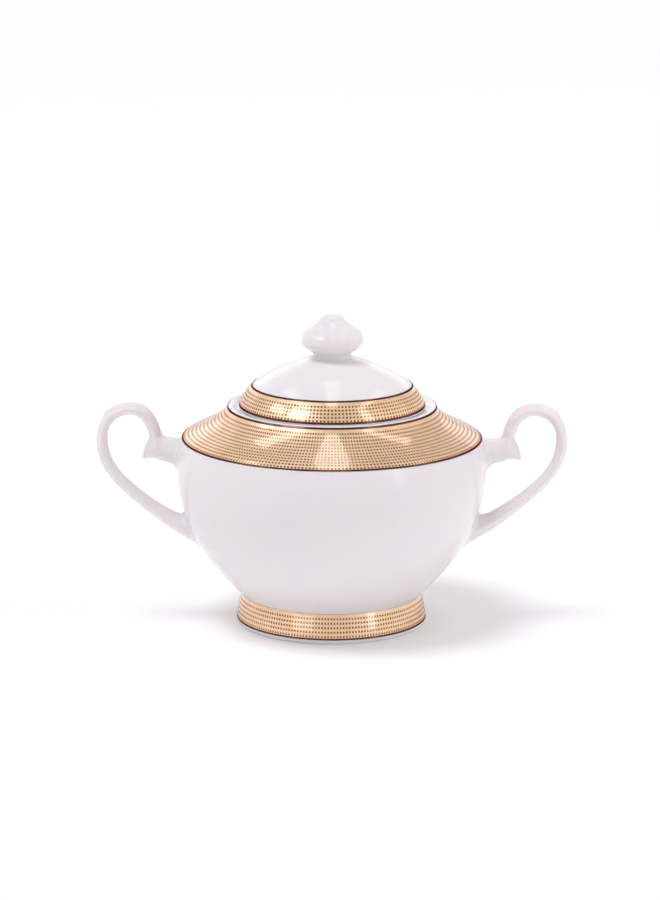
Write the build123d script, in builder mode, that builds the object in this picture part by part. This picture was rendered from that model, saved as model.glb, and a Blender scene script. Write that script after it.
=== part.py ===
from build123d import *
import os

# A footed porcelain sugar bowl with a domed lid, two loop handles and gilt bands.
# Frame: +Z up, X along the handles, origin at the centre of the foot's standing ring, millimetres.
# Everything turned is drawn as a (radius, height) outline and revolved about Z.

os.makedirs("parts", exist_ok=True)

# ---- Driving dimensions ----
SPAN = 180.0                 # over the two handles
HEIGHT = 120.0               # table to the tip of the knob

BELLY = (59.1, 61.0)         # widest point of the bowl
SHOULDER = (57.3, 72.1)      # edge where the belly turns into the sloping shoulder
RIM = (39.57, 84.62)         # top of the shoulder, outer edge of the rim
RIM_TOP_Z = 85.2             # control height of the rounded rim
CREASE = (34.4, 11.4)        # where the belly meets the foot
WALL = 2.8                   # bowl wall at its widest
LEDGE_DROP = 2.2             # thickness of the ledge at the mouth
UNDERSIDE_Z = 6.0            # middle of the bowl's underside, inside the foot
FLOOR_Z = 9.4                # middle of the bowl's inside
FLOOR_EDGE = (33.5, 15.5)    # where the inner wall turns into the floor

SEAT_Z = 83.7                # ledge that the lid rests on
SEAT_R = 36.2                # outer edge of the ledge
MOUTH_R = 32.4               # clear mouth of the bowl

FOOT_R = 36.25               # foot at the lower edge of its painted line
FOOT_LINE_Z = 1.7
FOOT_ROOT_Z = 12.4           # top of the foot before the bowl is cut from it
FOOT_INNER_R = 31.2          # inside of the foot at that height
STAND_OUTER_R = 35.0         # flat ring that touches the table
STAND_INNER_R = 33.4

LID_SEAT_R = 34.6            # outer edge of the lid's flat underside
LID_EDGE = (35.42, 84.76)    # lower edge of the lid's gilt band
LID_STEP = (30.26, 92.72)    # upper edge of the band, start of the dome
DOME_TOP_Z = 104.4           # dome surface on the axis, under the knob
DOME_INSIDE_Z = 101.2        # inside of the dome on the axis
SKIRT_R = 31.6               # locating skirt under the lid
SKIRT_DEPTH = 6.0
SKIRT_WALL = 2.4
SKIRT_ROUNDING = 0.9
SKIRT_INNER_R = SKIRT_R - SKIRT_WALL
VENT_R = 3.8                 # hole from the lid's underside into the hollow knob

KNOB_ROOT = (10.6, 102.45)   # where the knob's neck flares into the dome
KNOB_NECK = (7.2, 104.6)     # narrowest point of the neck
KNOB_WIDEST = (11.8, 110.0)
KNOB_SHOULDER = (6.3, 116.9)  # where the cap turns into the tip
KNOB_TIP = (4.6, 118.3)      # side of the small tip
KNOB_HOLLOW = (8.1, 110.0)   # widest point of the hollow
KNOB_HOLLOW_TOP_Z = 116.2
KNOB_BASE_Z = 100.0          # bottom of the knob before the lid is cut from it

GILT = 0.15                  # fired gold band, proud of the glaze
LINE = 0.2                   # painted brown line, proud of the glaze
LINE_WIDTH = 0.8

# Points that the turned outlines pass through, between the named points above.
BELLY_OUTLINE = [CREASE, (40.6, 17.9), (50.6, 31.0), (57.5, 47.0), BELLY, (58.7, 66.6), SHOULDER]
SHOULDER_OUTLINE = [SHOULDER, (54.13, 74.0), (49.82, 76.0), (46.28, 78.0), (42.3, 81.0), RIM]
INNER_WALL = [(MOUTH_R, SEAT_Z - LEDGE_DROP), (36.5, 80.4), (43.6, 76.4), (51.6, 71.9),
              (BELLY[0] - WALL, BELLY[1]), (48.2, 32.5), (38.5, 19.9), FLOOR_EDGE]
FOOT_OUTLINE = [(FOOT_R, FOOT_LINE_Z), (35.4, 6.9), CREASE]
LID_BAND_OUTLINE = [LID_EDGE, (33.5, 88.7), LID_STEP]
DOME_OUTLINE = [LID_STEP, (25.6, 96.0), (16.8, 100.1), (9.5, 102.9), (0, DOME_TOP_Z)]

# Right handle: (x, z, half thickness in the handle's plane, half width across it), from the
# lower root, up the outer limb, over the top and down the inner limb into the neck.
LIMB_OUTER_X = SPAN / 2 - 2.2
LOOP_STATIONS = [
    (46.0, 31.9, 4.0, 5.2),
    (54.0, 35.8, 3.9, 4.8),
    (62.9, 40.6, 3.1, 3.9),
    (70.6, 46.0, 2.6, 3.4),
    (78.1, 52.3, 2.4, 3.3),
    (83.5, 58.2, 2.3, 3.3),
    (86.9, 65.0, 2.25, 3.3),
    (LIMB_OUTER_X, 71.0, 2.2, 3.3),
    (87.0, 75.8, 2.1, 3.3),
    (83.9, 80.6, 2.35, 3.3),
    (77.3, 83.1, 2.3, 3.3),
    (71.9, 81.4, 2.5, 3.3),
    (69.1, 77.7, 2.45, 3.3),
    (67.4, 72.9, 2.35, 3.2),
    (67.1, 68.4, 2.2, 2.8),
]
# Neck and thumb spur: (x, middle height, half height, half width), from inside the bowl outwards.
NECK_STATIONS = [
    (55.5, 66.3, 5.5, 5.2),
    (59.5, 66.5, 5.15, 4.5),
    (64.0, 67.3, 4.7, 3.6),
    (67.6, 67.2, 4.2, 3.2),
    (69.8, 65.9, 2.8, 2.5),
    (71.4, 64.4, 1.0, 1.3),
]


# ---- Outlines ----
# Filled outer outline of the bowl, used by everything that sits against it.
with BuildSketch() as bowl_core:
    with BuildLine():
        Bezier((0, UNDERSIDE_Z), (14, UNDERSIDE_Z), (26, 7.2), CREASE)
        Spline(*BELLY_OUTLINE)
        shoulder_edge = Spline(*SHOULDER_OUTLINE)
        Line(RIM, (0, RIM[1]))
        Line((0, RIM[1]), (0, UNDERSIDE_Z))
    make_face()

# Filled outer outline of the lid without its knob.
with BuildSketch() as lid_core:
    with BuildLine():
        Line((0, SEAT_Z), (LID_SEAT_R, SEAT_Z))
        Spline((LID_SEAT_R, SEAT_Z), (35.4, 84.2), LID_EDGE, tangents=[(1, 0), (-0.2, 1)])
        lid_band_edge = Spline(*LID_BAND_OUTLINE)
        Spline(*DOME_OUTLINE, tangents=[(-0.72, 0.70), (-1, 0)])
        Line((0, DOME_TOP_Z), (0, SEAT_Z))
    make_face()


def turned(outline):
    """Solid of revolution of an (r, z) sketch about Z."""
    with BuildPart() as solid:
        with BuildSketch(Plane.XZ):
            add(outline)
        revolve(axis=Axis.Z)
    return solid.part


def ring_on(edge, start, end, thickness):
    """A thin turned ring that lies on an outline edge between two distances along it."""
    strip = edge.trim(start / edge.length, end / edge.length)
    stops = [step / 10 for step in range(11)]
    outside = [strip @ stop + (strip % stop).rotate(Axis.Z, -90) * thickness for stop in stops]
    with BuildSketch() as section:
        with BuildLine():
            add(strip)
            Line(strip @ 1, outside[-1])
            Spline(*reversed(outside))
            Line(outside[0], strip @ 0)
        make_face()
    return turned(section.sketch)


def write(part, label):
    part.label = label
    export_step(part, f"parts/{label}.step")


# ---- Bowl ----
with BuildSketch() as bowl_outline:
    add(bowl_core.sketch)
    with BuildLine():
        Bezier(RIM, (39.2, RIM_TOP_Z - 0.05), (37.9, RIM_TOP_Z), (SEAT_R, SEAT_Z))
        Line((SEAT_R, SEAT_Z), RIM)
    make_face()
    with BuildLine():
        Line((0, FLOOR_Z), (0, RIM_TOP_Z))
        Line((0, RIM_TOP_Z), (SEAT_R, RIM_TOP_Z))
        Line((SEAT_R, RIM_TOP_Z), (SEAT_R, SEAT_Z))
        Line((SEAT_R, SEAT_Z), (MOUTH_R, SEAT_Z))
        Line((MOUTH_R, SEAT_Z), INNER_WALL[0])
        Spline(*INNER_WALL)
        Bezier(FLOOR_EDGE, (28.5, 11.2), (16, FLOOR_Z), (0, FLOOR_Z))
    make_face(mode=Mode.SUBTRACT)

filled_bowl = turned(bowl_core.sketch)
write(turned(bowl_outline.sketch), "bowl")

# ---- Foot ring ----
with BuildSketch() as foot_outline:
    with BuildLine():
        foot_edge = Spline(*FOOT_OUTLINE)
        Bezier((FOOT_R, FOOT_LINE_Z), (36.3, 0.7), (35.9, 0), (STAND_OUTER_R, 0))
        Line((STAND_OUTER_R, 0), (STAND_INNER_R, 0))
        Bezier((STAND_INNER_R, 0), (32.7, 0), (32.3, 0.6), (32.2, FOOT_LINE_Z))
        Line((32.2, FOOT_LINE_Z), (FOOT_INNER_R, FOOT_ROOT_Z))
        Line((FOOT_INNER_R, FOOT_ROOT_Z), (CREASE[0], FOOT_ROOT_Z))
        Line((CREASE[0], FOOT_ROOT_Z), CREASE)
    make_face()

write(turned(foot_outline.sketch) - filled_bowl, "foot_ring")

# ---- Handles ----
loop_centre = Spline(*[(x, 0, z) for x, z, _, _ in LOOP_STATIONS])

with BuildPart() as handle_right:
    for x, z, half_thickness, half_width in LOOP_STATIONS:
        here = loop_centre.param_at_point((x, 0, z))
        with BuildSketch(Plane(loop_centre @ here, x_dir=(0, 1, 0), z_dir=loop_centre % here)):
            Ellipse(half_width, half_thickness)
    loft()
    for x, z, half_height, half_width in NECK_STATIONS:
        with BuildSketch(Plane((x, 0, z), x_dir=(0, 1, 0), z_dir=(1, 0, 0))):
            Ellipse(half_width, half_height)
    loft()
    add(filled_bowl, mode=Mode.SUBTRACT)
write(handle_right.part, "handle_right")

with BuildPart() as handle_left:
    mirror(handle_right.part, about=Plane.YZ)
write(handle_left.part, "handle_left")

# ---- Lid ----
with BuildSketch() as lid_outline:
    add(lid_core.sketch)
    with Locations((SKIRT_R - SKIRT_WALL / 2, SEAT_Z - SKIRT_DEPTH / 2)):
        RectangleRounded(SKIRT_WALL, SKIRT_DEPTH + 2, SKIRT_ROUNDING)
    with BuildLine():
        Line((0, SEAT_Z - 1), (SKIRT_INNER_R, SEAT_Z - 1))
        Line((SKIRT_INNER_R, SEAT_Z - 1), (SKIRT_INNER_R, 86.5))
        Bezier((SKIRT_INNER_R, 86.5), (SKIRT_INNER_R, 92.5), (15, 99.6), (0, DOME_INSIDE_Z))
        Line((0, DOME_INSIDE_Z), (0, SEAT_Z - 1))
    make_face(mode=Mode.SUBTRACT)
    with Locations((VENT_R / 2, DOME_INSIDE_Z)):
        Rectangle(VENT_R, 10, mode=Mode.SUBTRACT)

filled_lid = turned(lid_core.sketch)
write(turned(lid_outline.sketch), "lid")

# ---- Knob ----
with BuildSketch() as knob_outline:
    with BuildLine():
        Line((0, HEIGHT), (0, KNOB_BASE_Z))
        Line((0, KNOB_BASE_Z), (KNOB_ROOT[0], KNOB_BASE_Z))
        Line((KNOB_ROOT[0], KNOB_BASE_Z), KNOB_ROOT)
        Bezier(KNOB_ROOT, (8.2, 102.9), (KNOB_NECK[0], 103.6), KNOB_NECK)
        Bezier(KNOB_NECK, (KNOB_NECK[0], 105.9), (KNOB_WIDEST[0], 106.9), KNOB_WIDEST)
        Bezier(KNOB_WIDEST, (KNOB_WIDEST[0], 112.6), (8.9, 115.6), KNOB_SHOULDER)
        Bezier(KNOB_SHOULDER, (5.2, 117.45), (4.9, 117.75), KNOB_TIP)
        Bezier(KNOB_TIP, (4.0, 119.4), (2.6, HEIGHT), (0, HEIGHT))
    make_face()
    with BuildLine():
        Line((0, KNOB_HOLLOW_TOP_Z), (0, KNOB_BASE_Z))
        Line((0, KNOB_BASE_Z), (VENT_R, KNOB_BASE_Z))
        Line((VENT_R, KNOB_BASE_Z), (VENT_R, 105.2))
        Bezier((VENT_R, 105.2), (VENT_R, 107.2), (KNOB_HOLLOW[0], 107.2), KNOB_HOLLOW)
        Bezier(KNOB_HOLLOW, (KNOB_HOLLOW[0], 113.6), (4.5, KNOB_HOLLOW_TOP_Z), (0, KNOB_HOLLOW_TOP_Z))
    make_face(mode=Mode.SUBTRACT)

write(turned(knob_outline.sketch) - filled_lid, "lid_knob")

# ---- Gilt bands, and the painted lines that edge them ----
FOOT_BAND_TOP = foot_edge.length - 0.1
SHOULDER_TOP = shoulder_edge.length
LID_BAND_TOP = lid_band_edge.length

write(ring_on(foot_edge, 0, LINE_WIDTH, LINE), "foot_line")
write(ring_on(foot_edge, LINE_WIDTH, FOOT_BAND_TOP, GILT), "foot_band")

write(ring_on(shoulder_edge, 0, LINE_WIDTH, LINE), "shoulder_lower_line")
write(ring_on(shoulder_edge, LINE_WIDTH, SHOULDER_TOP - LINE_WIDTH, GILT), "shoulder_band")
write(ring_on(shoulder_edge, SHOULDER_TOP - LINE_WIDTH, SHOULDER_TOP, LINE), "shoulder_upper_line")

write(ring_on(lid_band_edge, 0, LINE_WIDTH, LINE), "lid_lower_line")
write(ring_on(lid_band_edge, LINE_WIDTH, LID_BAND_TOP - LINE_WIDTH, GILT), "lid_band")
write(ring_on(lid_band_edge, LID_BAND_TOP - LINE_WIDTH, LID_BAND_TOP, LINE), "lid_upper_line")
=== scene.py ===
"""Looks of a footed porcelain sugar bowl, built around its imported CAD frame.

Outlines are (radius, height) points in millimetres in the CAD frame, turned about Z. Meshes are in metres.
"""

import math

import bmesh
import bpy
import numpy as np
from mathutils import Matrix, Vector


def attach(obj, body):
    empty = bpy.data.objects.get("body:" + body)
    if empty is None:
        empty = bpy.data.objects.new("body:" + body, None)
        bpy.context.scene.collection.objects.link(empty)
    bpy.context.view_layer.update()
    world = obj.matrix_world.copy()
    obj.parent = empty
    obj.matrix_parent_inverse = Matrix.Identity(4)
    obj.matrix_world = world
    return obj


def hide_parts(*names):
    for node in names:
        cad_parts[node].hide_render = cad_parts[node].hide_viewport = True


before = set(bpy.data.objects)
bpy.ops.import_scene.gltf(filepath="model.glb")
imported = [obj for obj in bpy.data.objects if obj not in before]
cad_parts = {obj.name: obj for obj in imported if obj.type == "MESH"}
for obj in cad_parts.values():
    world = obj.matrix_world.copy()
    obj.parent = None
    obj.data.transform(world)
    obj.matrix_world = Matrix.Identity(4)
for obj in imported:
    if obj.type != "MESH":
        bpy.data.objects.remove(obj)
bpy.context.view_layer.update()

MM = 0.001
SEGMENTS = 320               # round every turned piece
STEP = 1.2                   # spacing of the points along an outline
SOFT_EDGE = 0.35             # rounding of the glazed edges

# ---- Sizes repeated from the CAD part ----
UNDERSIDE_Z = 6.0
FLOOR_Z = 9.4
CREASE = (34.4, 11.4)
BELLY = (59.1, 61.0)
SHOULDER = (57.3, 72.1)
RIM = (39.57, 84.62)
SEAT = (36.2, 83.7)
MOUTH_R = 32.4
FLOOR_EDGE = (33.5, 15.5)
BELLY_POINTS = [CREASE, (40.6, 17.9), (50.6, 31.0), (57.5, 47.0), BELLY, (58.7, 66.6), SHOULDER]
SHOULDER_POINTS = [SHOULDER, (54.13, 74.0), (49.82, 76.0), (46.28, 78.0), (42.3, 81.0), RIM]
INNER_POINTS = [(MOUTH_R, 81.5), (36.5, 80.4), (43.6, 76.4), (51.6, 71.9), (56.3, 61.0), (48.2, 32.5),
                (38.5, 19.9), FLOOR_EDGE]
FOOT_POINTS = [(36.25, 1.7), (35.4, 6.9), CREASE]
LID_SEAT = (34.6, 83.7)
LID_BAND_POINTS = [(35.42, 84.76), (33.5, 88.7), (30.26, 92.72)]
DOME_POINTS = [LID_BAND_POINTS[-1], (25.6, 96.0), (16.8, 100.1), (9.5, 102.9), (0.0, 104.4)]
DOME_INSIDE_Z = 101.2
SKIRT_OUTER_R = 31.6
SKIRT_INNER_R = 29.2
SKIRT_BOTTOM_Z = 76.7
VENT_R = 3.8
GILT = 0.15
LINE = 0.2
LINE_WIDTH = 0.8
FOOT_LINE_WIDTH = 0.65

# Right handle: (x, z, half thickness, half width) along the loop, the same along the small step
# at the top of the loop, and along the neck.
LOOP_STATIONS = [
    (46.0, 31.9, 4.0, 5.2),
    (54.0, 35.8, 3.9, 4.8),
    (62.9, 40.6, 3.1, 3.9),
    (70.6, 46.0, 2.6, 3.4),
    (78.1, 52.3, 2.4, 3.3),
    (83.5, 58.2, 2.3, 3.3),
    (86.9, 65.0, 2.25, 3.3),
    (87.8, 71.0, 2.2, 3.3),
    (87.0, 75.8, 2.1, 3.3),
    (83.9, 80.6, 2.35, 3.3),
    (77.3, 83.1, 2.3, 3.3),
    (71.9, 81.4, 2.5, 3.3),
    (69.1, 77.7, 2.45, 3.3),
    (67.4, 72.9, 2.35, 3.2),
    (67.1, 68.4, 2.2, 2.8),
]
SCROLL_STATIONS = [
    (84.65, 80.6, 2.2, 3.0),
    (81.1, 82.2, 2.35, 3.2),
    (77.3, 82.95, 2.35, 3.3),
    (71.9, 81.3, 2.45, 3.3),
]
NECK_STATIONS = [
    (55.5, 66.3, 5.5, 5.2),
    (59.5, 66.5, 5.15, 4.5),
    (64.0, 67.3, 4.7, 3.6),
    (67.6, 67.2, 4.2, 3.2),
    (69.8, 65.9, 2.8, 2.5),
    (71.4, 64.4, 1.0, 1.3),
]


# ---- Curves ----
def end_slope(stops, values):
    """Slope at the first stop of the polynomial through the first four points."""
    few = min(4, len(stops))
    powers = np.vander(stops[:few] - stops[0], few, increasing=True)
    return np.linalg.solve(powers, values[:few])[1]


def spline(points, steps=None):
    """A smooth curve through all points. Columns after the second follow along."""
    points = np.array(points, float)
    gaps = np.linalg.norm(np.diff(points[:, :2], axis=0), axis=1)
    stops = np.concatenate([[0], np.cumsum(gaps)])
    last = len(points) - 1
    system = np.zeros((last + 1, last + 1))
    wanted = np.zeros_like(points)
    system[0, 0] = system[last, last] = 1
    wanted[0] = end_slope(stops, points)
    wanted[last] = end_slope(stops[::-1], points[::-1])
    chords = np.diff(points, axis=0) / gaps[:, None]
    for i in range(1, last):
        before, after = 1 / gaps[i - 1], 1 / gaps[i]
        system[i, i - 1:i + 2] = before, 2 * (before + after), after
        wanted[i] = 3 * (before * chords[i - 1] + after * chords[i])
    slopes = np.linalg.solve(system, wanted)
    steps = steps or max(4, math.ceil(stops[-1] / STEP))
    along = np.linspace(0, stops[-1], steps + 1)
    i = np.clip(np.searchsorted(stops, along, side="right") - 1, 0, last - 1)
    gap = gaps[i][:, None]
    u = (along - stops[i])[:, None] / gap
    return ((2 * u**3 - 3 * u**2 + 1) * points[i] + (u**3 - 2 * u**2 + u) * gap * slopes[i]
            + (3 * u**2 - 2 * u**3) * points[i + 1] + (u**3 - u**2) * gap * slopes[i + 1])


def bezier(start, pull_start, pull_end, end, steps=10):
    """A cubic curve between two points, drawn towards two others."""
    u = np.linspace(0, 1, steps + 1)[:, None]
    start, pull_start, pull_end, end = (np.array(p, float) for p in (start, pull_start, pull_end, end))
    return ((1 - u)**3 * start + 3 * (1 - u)**2 * u * pull_start
            + 3 * (1 - u) * u**2 * pull_end + u**3 * end)


def line(start, end):
    """A straight run with points at the usual spacing."""
    start, end = np.array(start, float), np.array(end, float)
    steps = max(1, math.ceil(np.linalg.norm(end - start) / STEP))
    return start + (end - start) * np.linspace(0, 1, steps + 1)[:, None]


def joined(*parts):
    """One outline from parts that follow each other, without the doubled points."""
    points = np.concatenate(parts)
    keep = np.ones(len(points), bool)
    keep[1:] = np.linalg.norm(np.diff(points, axis=0), axis=1) > 1e-6
    return points[keep]


def soft_corners(points, closed, radius=SOFT_EDGE, turn=math.radians(22), steps=5):
    """Rounds each point where the outline turns sharply."""
    count = len(points)
    rounded = []
    for i, point in enumerate(points):
        if not closed and i in (0, count - 1):
            rounded.append(point)
            continue
        into = point - points[i - 1]
        out = points[(i + 1) % count] - point
        length_in, length_out = np.linalg.norm(into), np.linalg.norm(out)
        cosine = into @ out / (length_in * length_out)
        if math.acos(max(-1.0, min(1.0, cosine))) < turn:
            rounded.append(point)
            continue
        start = point - into * min(0.45, radius / length_in)
        end = point + out * min(0.45, radius / length_out)
        for u in np.linspace(0, 1, steps + 1):
            rounded.append((1 - u)**2 * start + 2 * (1 - u) * u * point + u**2 * end)
    return np.array(rounded)


def arc_lengths(curve):
    """Distance along a curve at each of its points."""
    return np.concatenate([[0], np.cumsum(np.linalg.norm(np.diff(curve, axis=0), axis=1))])


def point_on(curve, distance):
    """Point and outward normal at a distance along a curve that runs up an outline."""
    stops = arc_lengths(curve)
    behind, place, ahead = (np.array([np.interp(distance + step, stops, curve[:, k]) for k in (0, 1)])
                            for step in (-0.05, 0, 0.05))
    tangent = (ahead - behind) / np.linalg.norm(ahead - behind)
    return place, np.array([tangent[1], -tangent[0]])


# ---- Meshes ----
def mesh_object(name, vertices, faces, finish, smooth=True):
    """An object from vertices in millimetres, with its normals turned outwards."""
    mesh = bpy.data.meshes.new(name)
    mesh.from_pydata((np.asarray(vertices, float) * MM).tolist(), [], faces)
    shape = bmesh.new()
    shape.from_mesh(mesh)
    bmesh.ops.recalc_face_normals(shape, faces=shape.faces)
    shape.to_mesh(mesh)
    shape.free()
    mesh.polygons.foreach_set("use_smooth", [smooth] * len(mesh.polygons))
    mesh.materials.append(finish)
    piece = bpy.data.objects.new(name, mesh)
    bpy.context.scene.collection.objects.link(piece)
    return piece


def turned(name, outline, finish):
    """Turns an outline about Z. It runs from axis to axis, or is a closed loop off the axis."""
    angles = np.arange(SEGMENTS) * 2 * math.pi / SEGMENTS
    circle = np.stack([np.cos(angles), np.sin(angles)], 1)
    on_axis = outline[:, 0] < 1e-6
    counts = np.where(on_axis, 1, SEGMENTS)
    firsts = np.cumsum(counts) - counts
    rings = firsts[:, None] + np.where(on_axis[:, None], 0, np.arange(SEGMENTS))
    if not on_axis[0]:
        rings = np.vstack([rings, rings[:1]])
    vertices = []
    for radius, height in outline:
        ring = circle * radius if radius > 1e-6 else np.zeros((1, 2))
        vertices.append(np.column_stack([ring, np.full(len(ring), height)]))
    low, high = rings[:-1], rings[1:]
    corners = np.stack([low, np.roll(low, -1, 1), np.roll(high, -1, 1), high], -1).reshape(-1, 4)
    faces = [tuple(dict.fromkeys(quad)) for quad in corners.tolist()]
    return mesh_object(name, np.concatenate(vertices), faces, finish)


def finished(piece, body, slot, *nodes):
    """Rides the piece on its body, in place of its CAD nodes."""
    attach(piece, body)
    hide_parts(*nodes)
    return piece


# ---- Materials ----
# Each surface drifts between two tones.
GLAZE_COOL = (0.810, 0.766, 0.790)
GLAZE_WARM = (0.822, 0.778, 0.782)
CLAY_DARK = (0.70, 0.68, 0.65)
CLAY_LIGHT = (0.78, 0.76, 0.73)
GOLD_DEEP = (0.845, 0.535, 0.300)
GOLD_PALE = (0.910, 0.615, 0.385)
DOT_DARK = (0.33, 0.140, 0.032)
DOT_LIGHT = (0.43, 0.200, 0.058)
ENAMEL_DARK = (0.105, 0.040, 0.028)
ENAMEL_LIGHT = (0.145, 0.058, 0.042)


def new_material(name, **values):
    """A material and its shader, with plain values on the shader's own sockets."""
    material = bpy.data.materials.new(name)
    material.use_nodes = True
    shader = material.node_tree.nodes["Principled BSDF"]
    for socket, value in values.items():
        shader.inputs[socket.replace("_", " ")].default_value = value
    return material, shader


def add_node(tree, kind, inputs=(), **settings):
    """A node whose inputs are plain values or links from other nodes."""
    node = tree.nodes.new(kind)
    for name, value in settings.items():
        setattr(node, name, value)
    for name, value in dict(inputs).items():
        if isinstance(value, bpy.types.NodeSocket):
            tree.links.new(value, node.inputs[name])
        else:
            node.inputs[name].default_value = value
    return node


def noise(tree, size, detail=2.0):
    """Noise whose blobs are about size millimetres across."""
    place = add_node(tree, "ShaderNodeTexCoord").outputs["Object"]
    inputs = {"Vector": place, "Scale": 1 / (size * MM), "Detail": detail}
    grain = add_node(tree, "ShaderNodeTexNoise", inputs)
    return grain.outputs["Fac"]


def spread(tree, value, low, high, start=0.3, end=0.7):
    """Maps a value from start..end to low..high."""
    inputs = {"Value": value, "From Min": start, "From Max": end, "To Min": low, "To Max": high}
    return add_node(tree, "ShaderNodeMapRange", inputs).outputs["Result"]


def blend_colours(tree, factor, first, second):
    """Mixes two colours, each of them plain or from another node."""
    node = add_node(tree, "ShaderNodeMix", {"Factor": factor}, data_type="RGBA")
    for socket, colour in ((node.inputs[6], first), (node.inputs[7], second)):
        if isinstance(colour, bpy.types.NodeSocket):
            tree.links.new(colour, socket)
        else:
            socket.default_value = (*colour, 1)
    return node.outputs[2]


def bump(tree, shader, height, depth):
    """Bump of a depth in millimetres on the shader's normal."""
    node = add_node(tree, "ShaderNodeBump", {"Height": height, "Strength": 1.0, "Distance": depth * MM})
    tree.links.new(node.outputs["Normal"], shader.inputs["Normal"])


def porcelain():
    """Glossy glaze, faintly uneven, over a slightly translucent body. The standing ring is unglazed."""
    material, shader = new_material("porcelain", IOR=1.43, Subsurface_Weight=0.20, Subsurface_Scale=0.004)
    tree = material.node_tree
    place = add_node(tree, "ShaderNodeTexCoord").outputs["Object"]
    height = add_node(tree, "ShaderNodeSeparateXYZ", {"Vector": place}).outputs["Z"]
    bare = spread(tree, height, 1.0, 0.0, start=0.10 * MM, end=0.28 * MM)
    glaze = blend_colours(tree, spread(tree, noise(tree, 28), 0, 1), GLAZE_COOL, GLAZE_WARM)
    clay = blend_colours(tree, spread(tree, noise(tree, 0.8), 0, 1), CLAY_DARK, CLAY_LIGHT)
    tree.links.new(blend_colours(tree, bare, glaze, clay), shader.inputs["Base Color"])
    gloss = spread(tree, noise(tree, 9), 0.05, 0.10)
    rough = add_node(tree, "ShaderNodeMix", {"Factor": bare, 2: gloss, 3: 0.75}).outputs[0]
    tree.links.new(rough, shader.inputs["Roughness"])
    bump(tree, shader, noise(tree, 7, detail=1.0), 0.012)
    return material


def satin_gold():
    """Satin gold with a fine grain, under the clear flux that fires out glossy."""
    material, shader = new_material("satin_gold", Metallic=1.0, Coat_Weight=1.0, Coat_IOR=2.1,
                                    Coat_Roughness=0.05)
    tree = material.node_tree
    tone = spread(tree, noise(tree, 6, detail=3.0), 0, 1)
    tree.links.new(blend_colours(tree, tone, GOLD_DEEP, GOLD_PALE), shader.inputs["Base Color"])
    tree.links.new(spread(tree, noise(tree, 1.1), 0.42, 0.50), shader.inputs["Roughness"])
    bump(tree, shader, noise(tree, 0.12, detail=2.0), 0.003)
    return material


def polished_gold():
    """The small raised dots, darker and glossier than the band."""
    material, shader = new_material("polished_gold", Metallic=1.0, Coat_Weight=0.35, Coat_IOR=1.5,
                                    Coat_Roughness=0.06, Specular_Tint=(0.70, 0.45, 0.25, 1))
    tree = material.node_tree
    tone = spread(tree, noise(tree, 3), 0, 1)
    tree.links.new(blend_colours(tree, tone, DOT_DARK, DOT_LIGHT), shader.inputs["Base Color"])
    tree.links.new(spread(tree, noise(tree, 2), 0.10, 0.16), shader.inputs["Roughness"])
    return material


def brown_enamel():
    """Glossy painted line with a slight waver in its tone."""
    material, shader = new_material("brown_enamel", Metallic=1.0, Coat_Weight=0.1, Coat_Roughness=0.03,
                                    Specular_Tint=(0.45, 0.25, 0.18, 1))
    tree = material.node_tree
    tone = spread(tree, noise(tree, 4), 0, 1)
    tree.links.new(blend_colours(tree, tone, ENAMEL_DARK, ENAMEL_LIGHT), shader.inputs["Base Color"])
    tree.links.new(spread(tree, noise(tree, 1.5), 0.12, 0.22), shader.inputs["Roughness"])
    bump(tree, shader, noise(tree, 1.0), 0.006)
    return material


PORCELAIN = porcelain()
SATIN = satin_gold()
POLISHED = polished_gold()
ENAMEL = brown_enamel()


# ---- Turned porcelain ----
def bowl_outline():
    """From the underside over the rim and down the inside to the floor."""
    underside = bezier((0, UNDERSIDE_Z), (14, UNDERSIDE_Z), (26, 7.2), CREASE, 24)
    lip = bezier(RIM, (39.2, 85.15), (37.9, 85.2), SEAT)
    ledge = line(SEAT, (MOUTH_R, SEAT[1]))
    mouth = line((MOUTH_R, SEAT[1]), INNER_POINTS[0])
    floor = bezier(FLOOR_EDGE, (28.5, 11.2), (16, FLOOR_Z), (0, FLOOR_Z), 24)
    outline = joined(underside, spline(BELLY_POINTS), spline(SHOULDER_POINTS), lip, ledge, mouth,
                     spline(INNER_POINTS), floor)
    return soft_corners(outline, closed=False)


def foot_outline():
    """A closed loop: sole, flared outside, root and stem."""
    outer = spline(FOOT_POINTS)
    sole = bezier(FOOT_POINTS[0], (36.3, 0.7), (35.9, 0), (35.0, 0))
    inner = bezier((33.4, 0), (32.7, 0), (32.3, 0.6), (32.2, 2.0))
    stem = line((32.2, 2.0), (31.2, 10.2))
    root = line((31.2, 10.2), (33.4, 12.4))
    outline = joined(sole[::-1], outer, line(CREASE, (33.4, 12.4)), root[::-1], stem[::-1], inner[::-1],
                     line((33.4, 0), (35.0, 0)))
    return soft_corners(outline[:-1], closed=True)


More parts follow.
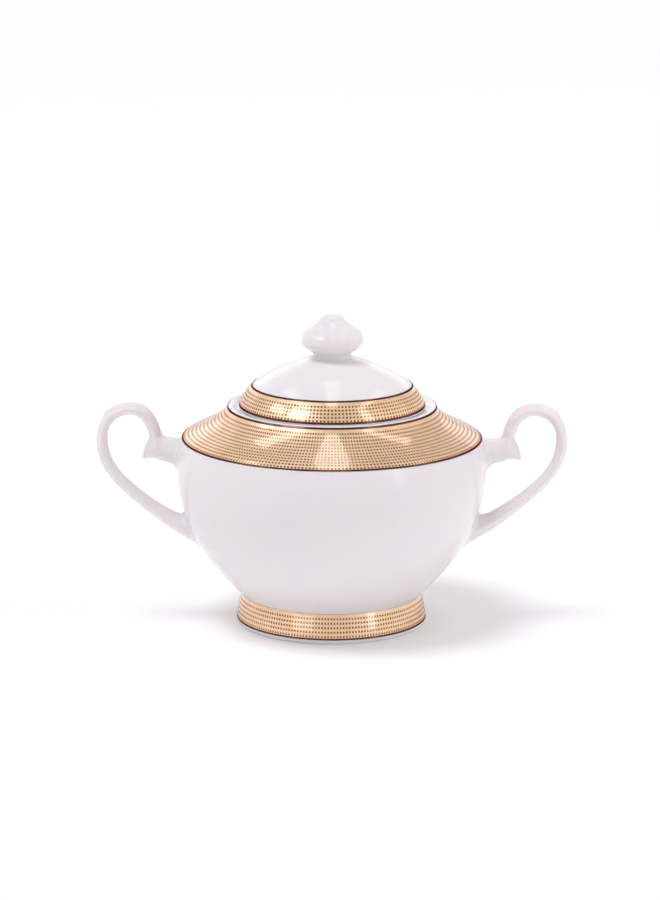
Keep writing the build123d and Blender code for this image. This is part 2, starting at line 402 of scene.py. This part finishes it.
def lid_outline():
    """A closed loop around the vent: edge, band, dome, inside and skirt."""
    dome = spline(DOME_POINTS, 40)
    crown = dome[dome[:, 0] > VENT_R]
    top = np.array([VENT_R, np.interp(VENT_R, dome[::-1, 0], dome[::-1, 1])])
    inside = bezier((0, DOME_INSIDE_Z), (15, 99.6), (SKIRT_INNER_R, 92.5), (SKIRT_INNER_R, 86.5), 30)
    hollow = inside[inside[:, 0] > VENT_R]
    ceiling = np.array([VENT_R, np.interp(VENT_R, inside[:, 0], inside[:, 1])])
    edge = bezier(LID_SEAT, (35.1, 83.7), (35.5, 84.1), LID_BAND_POINTS[0], 6)
    outline = joined(
        edge, spline(LID_BAND_POINTS), crown, [top], line(top, ceiling), hollow,
        line((SKIRT_INNER_R, 86.5), (SKIRT_INNER_R, SKIRT_BOTTOM_Z)),
        line((SKIRT_INNER_R, SKIRT_BOTTOM_Z), (SKIRT_OUTER_R, SKIRT_BOTTOM_Z)),
        line((SKIRT_OUTER_R, SKIRT_BOTTOM_Z), (SKIRT_OUTER_R, LID_SEAT[1])),
        line((SKIRT_OUTER_R, LID_SEAT[1]), LID_SEAT))
    return soft_corners(outline[:-1], closed=True)


def knob_outline():
    """The outer and inner skins of the hollow knob."""
    root, neck, widest, shoulder, tip = (10.6, 102.45), (7.2, 104.6), (11.8, 110), (6.3, 116.9), (4.6, 118.3)
    hollow = (8.1, 110)
    outline = joined(
        bezier(root, (8.2, 102.9), (7.2, 103.6), neck, 12),
        bezier(neck, (7.2, 105.9), (11.8, 106.9), widest, 20),
        bezier(widest, (11.8, 112.6), (8.9, 115.6), shoulder, 20),
        bezier(shoulder, (5.2, 117.45), (4.9, 117.75), tip, 10),
        bezier(tip, (4.0, 119.4), (2.6, 120), (0, 120), 14))
    inside = joined(
        bezier((0, 116.2), (4.5, 116.2), (8.1, 113.6), hollow, 14),
        bezier(hollow, (8.1, 107.2), (VENT_R, 107.2), (VENT_R, 105.2), 14),
        line((VENT_R, 105.2), (VENT_R, 102.0)),
        line((VENT_R, 102.0), (10.6, 101.9)))
    return outline, inside


def build_knob():
    """The knob is closed by its hollow: outer skin from the root to the tip, inner skin back down."""
    outer, inner = knob_outline()
    return turned("lid_knob_glazed", joined(inner, outer), PORCELAIN)


finished(turned("bowl_glazed", bowl_outline(), PORCELAIN), "bowl", "porcelain", "bowl")
finished(turned("foot_glazed", foot_outline(), PORCELAIN), "bowl", "porcelain", "foot_ring")
finished(turned("lid_glazed", lid_outline(), PORCELAIN), "lid", "porcelain", "lid")
finished(build_knob(), "lid", "porcelain", "lid_knob")


# ---- Gilding ----
DOT_SIDES = 8
DOT_RINGS = ((1.0, -0.02), (0.85, 0.020))  # share of the radius, height above the gold
DOT_CROWN = 0.022
DOT_SHARE = 0.72                           # widest dot, as a share of the room between columns
LAYER_SINK = 0.1                           # how far a layer reaches into the glaze
LAYER_STEP = 0.8
LAYER_ROUNDING = 0.12
LAYER_TURN = math.radians(40)
BARE_EDGE = 0.1                            # left free above a band that has no upper line


def ring_outline(edge, start, end, thickness):
    """Closed outline of a thin layer on an edge between two distances, sunk a little into the glaze."""
    stops = np.linspace(start, end, max(4, math.ceil((end - start) / LAYER_STEP)) + 1)
    spots = [point_on(edge, stop) for stop in stops]
    outside = np.array([place + normal * thickness for place, normal in spots])
    inside = np.array([place - normal * LAYER_SINK for place, normal in spots])
    loop = joined(outside, inside[::-1])
    return soft_corners(loop, closed=True, radius=LAYER_ROUNDING, turn=LAYER_TURN, steps=3)


def dots(name, edge, first, pitch, rows, columns, size):
    """Rows of small shallow lenses that sit on a gold band, in columns that run up it."""
    spokes = np.arange(DOT_SIDES) * 2 * math.pi / DOT_SIDES
    turns = np.arange(columns)[:, None] * 2 * math.pi / columns
    upright = np.array([0, 0, 1.0])
    out = np.hstack([np.cos(turns), np.sin(turns), 0 * turns])
    around = np.hstack([-np.sin(turns), np.cos(turns), 0 * turns])
    lenses = []
    for row in range(rows):
        place, normal = point_on(edge, first + row * pitch)
        up = out * normal[0] + upright * normal[1]
        along = upright * normal[0] - out * normal[1]
        centre = out * place[0] + upright * place[1] + up * GILT
        room = place[0] * 2 * math.pi / columns
        wide = min(size, room * DOT_SHARE) / 2
        across = (around[:, None] * np.cos(spokes)[:, None] * wide
                  + along[:, None] * np.sin(spokes)[:, None] * size / 2)
        rings = [centre[:, None] + across * reach + up[:, None] * lift for reach, lift in DOT_RINGS]
        lenses.append(np.concatenate(rings + [(centre + up * DOT_CROWN)[:, None]], 1))
    lenses = np.concatenate(lenses)
    side = np.arange(DOT_SIDES)
    after = np.roll(side, -1)
    wall = np.stack([side, after, DOT_SIDES + after, DOT_SIDES + side], 1).tolist()
    cap = np.stack([DOT_SIDES + side, DOT_SIDES + after, np.full(DOT_SIDES, 2 * DOT_SIDES)], 1).tolist()
    template = wall + cap + [side[::-1].tolist()]
    starts = range(0, lenses.shape[0] * lenses.shape[1], lenses.shape[1])
    faces = [[start + corner for corner in face] for start in starts for face in template]
    return mesh_object(name, lenses.reshape(-1, 3), faces, POLISHED, smooth=False)


def gild(edge, body, band, lower, upper, rows, lower_width=LINE_WIDTH):
    """A gold band with its dots, and the painted lines beside it."""
    length = arc_lengths(edge)[-1]
    top = length - (LINE_WIDTH if upper else BARE_EDGE)
    gold = turned(band + "_gilt", ring_outline(edge, lower_width, top, GILT), SATIN)
    finished(gold, body, "gilt", band)
    painted = [(lower, 0, lower_width)]
    if upper:
        painted.append((upper, length - LINE_WIDTH, length))
    for node, start, end in painted:
        stroke = turned(node + "_painted", ring_outline(edge, start, end, LINE), ENAMEL)
        finished(stroke, body, "painted_line", node)
    first, pitch, count, columns, size = rows
    beads = dots(band + "_dots", edge, first, pitch, count, columns, size)
    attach(beads, body)


SHOULDER_EDGE = spline(SHOULDER_POINTS, 200)
FOOT_EDGE = spline(FOOT_POINTS, 100)
LID_EDGE = spline(LID_BAND_POINTS, 100)
# Dots: first row, distance between rows, rows, columns, diameter.
gild(SHOULDER_EDGE, "bowl", "shoulder_band", "shoulder_lower_line", "shoulder_upper_line",
     (1.35, 1.64, 12, 260, 1.05))
gild(FOOT_EDGE, "bowl", "foot_band", "foot_line", None, (1.3, 1.68, 5, 192, 1.05), FOOT_LINE_WIDTH)
gild(LID_EDGE, "lid", "lid_band", "lid_lower_line", "lid_upper_line", (1.25, 1.40, 5, 156, 0.95))


# ---- Handles ----
def nearest_station(stations, x, z):
    """For points in the handle's plane: distance to the middle line, and the section there."""
    curve = spline(stations, 260)
    apart = (x[:, None] - curve[:, 0]) ** 2 + (z[:, None] - curve[:, 1]) ** 2
    nearest = apart.argmin(1)
    return np.sqrt(apart[np.arange(len(x)), nearest]), curve[nearest, 2], curve[nearest, 3]


def limb_field(stations, roundness):
    """Rough distance outside a limb whose section is a rounded lozenge (2 is an ellipse)."""
    def field(x, y, z):
        off, half_thickness, half_width = nearest_station(stations, x, z)
        across = np.abs(y)
        size = ((off / half_thickness) ** roundness + (across / half_width) ** roundness) ** (1 / roundness)
        reach = np.hypot(off, across)
        return np.where(size > 1e-6, reach * (1 - 1 / np.maximum(size, 1e-6)), -half_thickness)
    return field


def smooth_union(first, second, width):
    """Joins two distance fields with a rounded hollow of a given width."""
    overlap = np.maximum(width - np.abs(first - second), 0) / width
    return np.minimum(first, second) - overlap**2 * width / 4


BODY_EDGE = joined(spline(BELLY_POINTS, 200), spline(SHOULDER_POINTS, 100))


def body_distance(x, y, z):
    """Distance outside the bowl, near the handle."""
    radius = np.interp(z, BODY_EDGE[:, 1], BODY_EDGE[:, 0])
    rise = np.interp(z + 0.3, BODY_EDGE[:, 1], BODY_EDGE[:, 0]) - radius
    return (np.hypot(x, y) - radius) / np.hypot(1, rise / 0.3)


LOZENGE = 1.4
ELLIPSE = 2.0
LOOP = limb_field(LOOP_STATIONS, LOZENGE)
SCROLL = limb_field(SCROLL_STATIONS, LOZENGE)
NECK = limb_field(NECK_STATIONS, ELLIPSE)
SCROLL_BLEND = 0.4
NECK_BLEND = 2.2
ROOT_BLEND_Z = (60, 64, 70.5)    # heights where the blend into the bowl has these widths
ROOT_BLEND = (3.6, 3.0, 0.5)


def handle_parts(points):
    """Distances outside the limb and the bowl, and the width of the blend between them."""
    x, y, z = points.T
    loop = smooth_union(LOOP(x, y, z), SCROLL(x, y, z), SCROLL_BLEND)
    limb = smooth_union(loop, NECK(x, y, z), NECK_BLEND)
    width = np.interp(z, ROOT_BLEND_Z, ROOT_BLEND)
    return limb, body_distance(x, y, z), width


def handle_field(points):
    """Distance outside the handle where it runs into the bowl."""
    limb, body, width = handle_parts(points)
    return smooth_union(limb, body, width)


def surface_nets(field, low, high, cell):
    """The surface where a field is zero, as one point in each grid cell that it crosses."""
    counts = [int(math.ceil((b - a) / cell)) + 1 for a, b in zip(low, high)]
    axes = [a + np.arange(n) * cell for a, n in zip(low, counts)]
    grid = np.stack(np.meshgrid(*axes, indexing="ij"), -1)
    values = np.concatenate([field(slab.reshape(-1, 3)).reshape(slab.shape[:-1])
                             for slab in np.array_split(grid, 24)])
    inside = values < 0
    cells = tuple(n - 1 for n in counts)
    total = sum(inside[i:i + cells[0], j:j + cells[1], k:k + cells[2]].astype(int)
                for i in (0, 1) for j in (0, 1) for k in (0, 1))
    crossed = (total > 0) & (total < 8)
    number = -np.ones(cells, int)
    number[crossed] = np.arange(crossed.sum())
    corner = np.argwhere(crossed)
    points = np.array(low) + (corner + 0.5) * cell
    faces = []
    for axis in range(3):
        first, second = [a for a in range(3) if a != axis]
        before = np.take(inside, range(counts[axis] - 1), axis)
        after = np.take(inside, range(1, counts[axis]), axis)
        spots = np.argwhere(before != after)
        spots = spots[(spots[:, first] > 0) & (spots[:, second] > 0)]
        spots = spots[(spots[:, first] < cells[first]) & (spots[:, second] < cells[second])]
        around = []
        for a, b in ((0, 0), (1, 0), (1, 1), (0, 1)):
            at = spots.copy()
            at[:, first] -= a
            at[:, second] -= b
            around.append(number[tuple(at.T)])
        faces.append(np.stack(around, 1))
    return points, np.concatenate(faces)


def settle(points, faces, field, rounds=5):
    """Evens out the net and pulls each point onto the surface."""
    edges = np.concatenate([faces[:, (k, (k + 1) % 4)] for k in range(4)])
    edges = np.unique(np.sort(edges, 1), axis=0)
    count = np.bincount(edges.ravel(), minlength=len(points))[:, None]
    for _ in range(rounds):
        total = np.zeros_like(points)
        for a, b in ((0, 1), (1, 0)):
            np.add.at(total, edges[:, a], points[edges[:, b]])
        points = points + 0.5 * (total / np.maximum(count, 1) - points)
        points = points - pull(points, field)
    return points - pull(points, field)


def pull(points, field, reach=0.02):
    """Step from each point to where the field is zero."""
    value = field(points)
    slope = np.stack([(field(points + offset) - field(points - offset)) / (2 * reach)
                      for offset in np.eye(3) * reach], -1)
    steepness = np.maximum((slope**2).sum(1), 0.05)
    return (value / steepness)[:, None] * slope


NET_LOW = (44.0, -8.0, 20.0)     # corners of the grid around the right handle
NET_HIGH = (91.0, 8.0, 86.5)
NET_CELL = 0.42
ROOT_SINK = 0.012                # how far the thin edge of a root is sunk into the glaze
ROOT_EDGE = 0.12                 # share of the blend that counts as that edge


def handle_shell():
    """The right handle's skin, which runs out smoothly onto the bowl."""
    points, faces = surface_nets(handle_field, NET_LOW, NET_HIGH, NET_CELL)
    points = settle(points, faces, handle_field)
    limb, body, width = handle_parts(points)
    margin = (width - (limb - body)) / width
    away = margin > 0
    faces = faces[away[faces].all(1)]
    points[:, 0] -= ROOT_SINK * np.clip(1 - margin / ROOT_EDGE, 0, 1)
    used = np.unique(faces)
    renumber = -np.ones(len(points), int)
    renumber[used] = np.arange(len(used))
    return points[used], renumber[faces]


def build_handles():
    """The right handle and its mirror image."""
    points, faces = handle_shell()
    for side, name in ((1, "handle_right"), (-1, "handle_left")):
        piece = mesh_object(name + "_glazed", points * (side, 1, 1), faces.tolist(), PORCELAIN)
        close_roots(piece)
        finished(piece, "bowl", "porcelain", name)


def close_roots(piece, depth=0.9):
    """Carries each open root a little way into the bowl's wall and closes it there."""
    shape = bmesh.new()
    shape.from_mesh(piece.data)
    rim = [edge for edge in shape.edges if edge.is_boundary]
    for edge in rim:
        edge.smooth = False
    grown = bmesh.ops.extrude_edge_only(shape, edges=rim)["geom"]
    moved = [item for item in grown if isinstance(item, bmesh.types.BMVert)]
    for vertex in moved:
        inward = Vector((-vertex.co.x, -vertex.co.y, 0)).normalized()
        vertex.co += inward * depth * MM
    ends = [item for item in grown if isinstance(item, bmesh.types.BMEdge)]
    bmesh.ops.holes_fill(shape, edges=ends, sides=0)
    bmesh.ops.recalc_face_normals(shape, faces=shape.faces)
    shape.to_mesh(piece.data)
    shape.free()
    piece.data.polygons.foreach_set("use_smooth", [True] * len(piece.data.polygons))


build_handles()


# ---- Studio ----
AIM = Vector((0, 0, 0.06))
WORLD_FRONT = 0.72           # brightness of the surroundings at the horizon
WORLD_BACK = 0.96
WORLD_TOP = 0.62             # and overhead, as a share of that
KEY_ENERGY = 1.32
FLOOR_GLOW = 0.06
FLOOR_REACH = 40.0
WHITE = (1.0, 1.0, 1.0)
COOL = (0.72, 0.87, 1.0)
WARM = (1.0, 0.965, 0.91)
ROSY = (1.0, 0.95, 0.95)
CAMERA_PLACE = (0, -1.4, 0.392)
CAMERA_PITCH = math.radians(13.07)
CAMERA_YAW = math.radians(-0.03)
CAMERA_ROLL = math.radians(0.185)
CAMERA_SENSOR = 36.0
CAMERA_LENS = 150.44


def build_floor():
    """A plain pale floor."""
    mesh = bpy.data.meshes.new("studio_floor")
    corners = [(x * FLOOR_REACH, y * FLOOR_REACH, 0) for x, y in ((-1, -1), (1, -1), (1, 1), (-1, 1))]
    mesh.from_pydata(corners, [], [(0, 1, 2, 3)])
    material, shader = new_material("studio_floor", Roughness=0.9, Base_Color=(0.92, 0.92, 0.93, 1),
                                    Specular_IOR_Level=0.1, Emission_Color=(1, 1, 1, 1),
                                    Emission_Strength=FLOOR_GLOW)
    mesh.materials.append(material)
    floor = bpy.data.objects.new("studio_floor", mesh)
    bpy.context.scene.collection.objects.link(floor)


def towards(azimuth, elevation):
    """Direction from the bowl. Azimuth is from the front, positive to the right."""
    turn, rise = math.radians(azimuth), math.radians(elevation)
    return Vector((math.sin(turn) * math.cos(rise), -math.cos(turn) * math.cos(rise), math.sin(rise)))


def add_light(name, kind, azimuth, elevation, distance):
    """A light that faces the bowl, with its width level."""
    light = bpy.data.lights.new(name, kind)
    lamp = bpy.data.objects.new(name, light)
    back = towards(azimuth, elevation)
    turn = math.radians(azimuth)
    level = Vector((math.cos(turn), math.sin(turn), 0))
    lamp.matrix_world = Matrix((level, back.cross(level), back)).transposed().to_4x4()
    lamp.location = AIM + back * distance
    bpy.context.scene.collection.objects.link(lamp)
    return lamp


def soft_box(name, azimuth, elevation, distance, width, height, glow, colour=WHITE, fills=False):
    """A rectangular light of the given brightness, seen in the glaze and gold. A fill only lights."""
    lamp = add_light(name, "AREA", azimuth, elevation, distance)
    lamp.visible_diffuse = fills
    lamp.visible_glossy = not fills
    lamp.visible_camera = False
    light = lamp.data
    light.shape = "RECTANGLE"
    light.size = width
    light.size_y = height
    light.color = colour
    light.energy = glow * math.pi * width * height


def build_world():
    """Pale surroundings, brighter behind the bowl than behind the camera, and dimmer overhead."""
    world = bpy.data.worlds.new("studio")
    world.use_nodes = True
    tree = world.node_tree
    way = add_node(tree, "ShaderNodeTexCoord").outputs["Generated"]
    axes = add_node(tree, "ShaderNodeSeparateXYZ", {"Vector": way}).outputs
    level = spread(tree, axes["Y"], WORLD_FRONT, WORLD_BACK, start=-1, end=1)
    share = spread(tree, axes["Z"], 1.0, WORLD_TOP, start=0.15, end=0.95)
    glow = add_node(tree, "ShaderNodeMath", {0: level, 1: share}, operation="MULTIPLY").outputs["Value"]
    background = tree.nodes["Background"]
    background.inputs["Color"].default_value = (0.99, 0.98, 1.0, 1)
    tree.links.new(glow, background.inputs["Strength"])
    bpy.context.scene.world = world


def build_lights():
    """A soft key from the left, a fill from the right, and soft boxes that only show as reflections."""
    key = add_light("key", "SUN", -66, 71, 2.0)
    key.data.angle = math.radians(25)
    key.data.energy = KEY_ENERGY
    key.data.color = (0.985, 0.975, 1.0)
    key.visible_glossy = False
    # Azimuth, elevation, distance, width, height and brightness of each box.
    soft_box("right_fill", 80, 25, 1.3, 1.5, 1.0, 0.70, WARM, fills=True)
    soft_box("key_panel", -50, 41, 1.2, 0.46, 0.40, 6.0, COOL)
    soft_box("left_panel", -84, 37, 1.2, 0.42, 0.26, 3.2, COOL)
    soft_box("front_left_panel", -35, 5, 1.5, 0.7, 0.24, 1.15, COOL)
    soft_box("right_strip", 50, 25, 1.4, 0.28, 1.30, 2.3, COOL)
    soft_box("right_panel", 90, 25, 1.3, 1.2, 1.0, 0.26, WARM)
    soft_box("back_left_panel", -150, 24, 1.4, 1.0, 0.6, 0.34, ROSY)
    soft_box("back_panel", 180, 17, 1.6, 1.6, 0.45, 0.5)
    soft_box("top_strip", 0, 90, 1.2, 0.20, 1.3, 2.0, COOL)
    soft_box("top_strip_left", -90, 63, 1.3, 1.3, 0.20, 2.1, COOL)
    soft_box("top_strip_right", 90, 60, 1.3, 1.3, 0.16, 1.5)


def build_camera():
    """A long lens in front, looking a little down."""
    pitch, yaw, roll = CAMERA_PITCH, CAMERA_YAW, CAMERA_ROLL
    forward = Vector((math.sin(yaw) * math.cos(pitch), math.cos(yaw) * math.cos(pitch), -math.sin(pitch)))
    level = Vector((math.cos(yaw), -math.sin(yaw), 0))
    above = level.cross(forward)
    right = level * math.cos(roll) + above * math.sin(roll)
    up = above * math.cos(roll) - level * math.sin(roll)
    lens = bpy.data.cameras.new("camera")
    lens.sensor_width = CAMERA_SENSOR
    lens.lens = CAMERA_LENS
    lens.clip_end = 2.5 * FLOOR_REACH
    camera = bpy.data.objects.new("camera", lens)
    camera.matrix_world = Matrix((right, up, -forward)).transposed().to_4x4()
    camera.location = CAMERA_PLACE
    bpy.context.scene.collection.objects.link(camera)
    bpy.context.scene.camera = camera


build_floor()
build_world()
build_lights()
build_camera()
bpy.context.scene.view_settings.view_transform = "Standard"
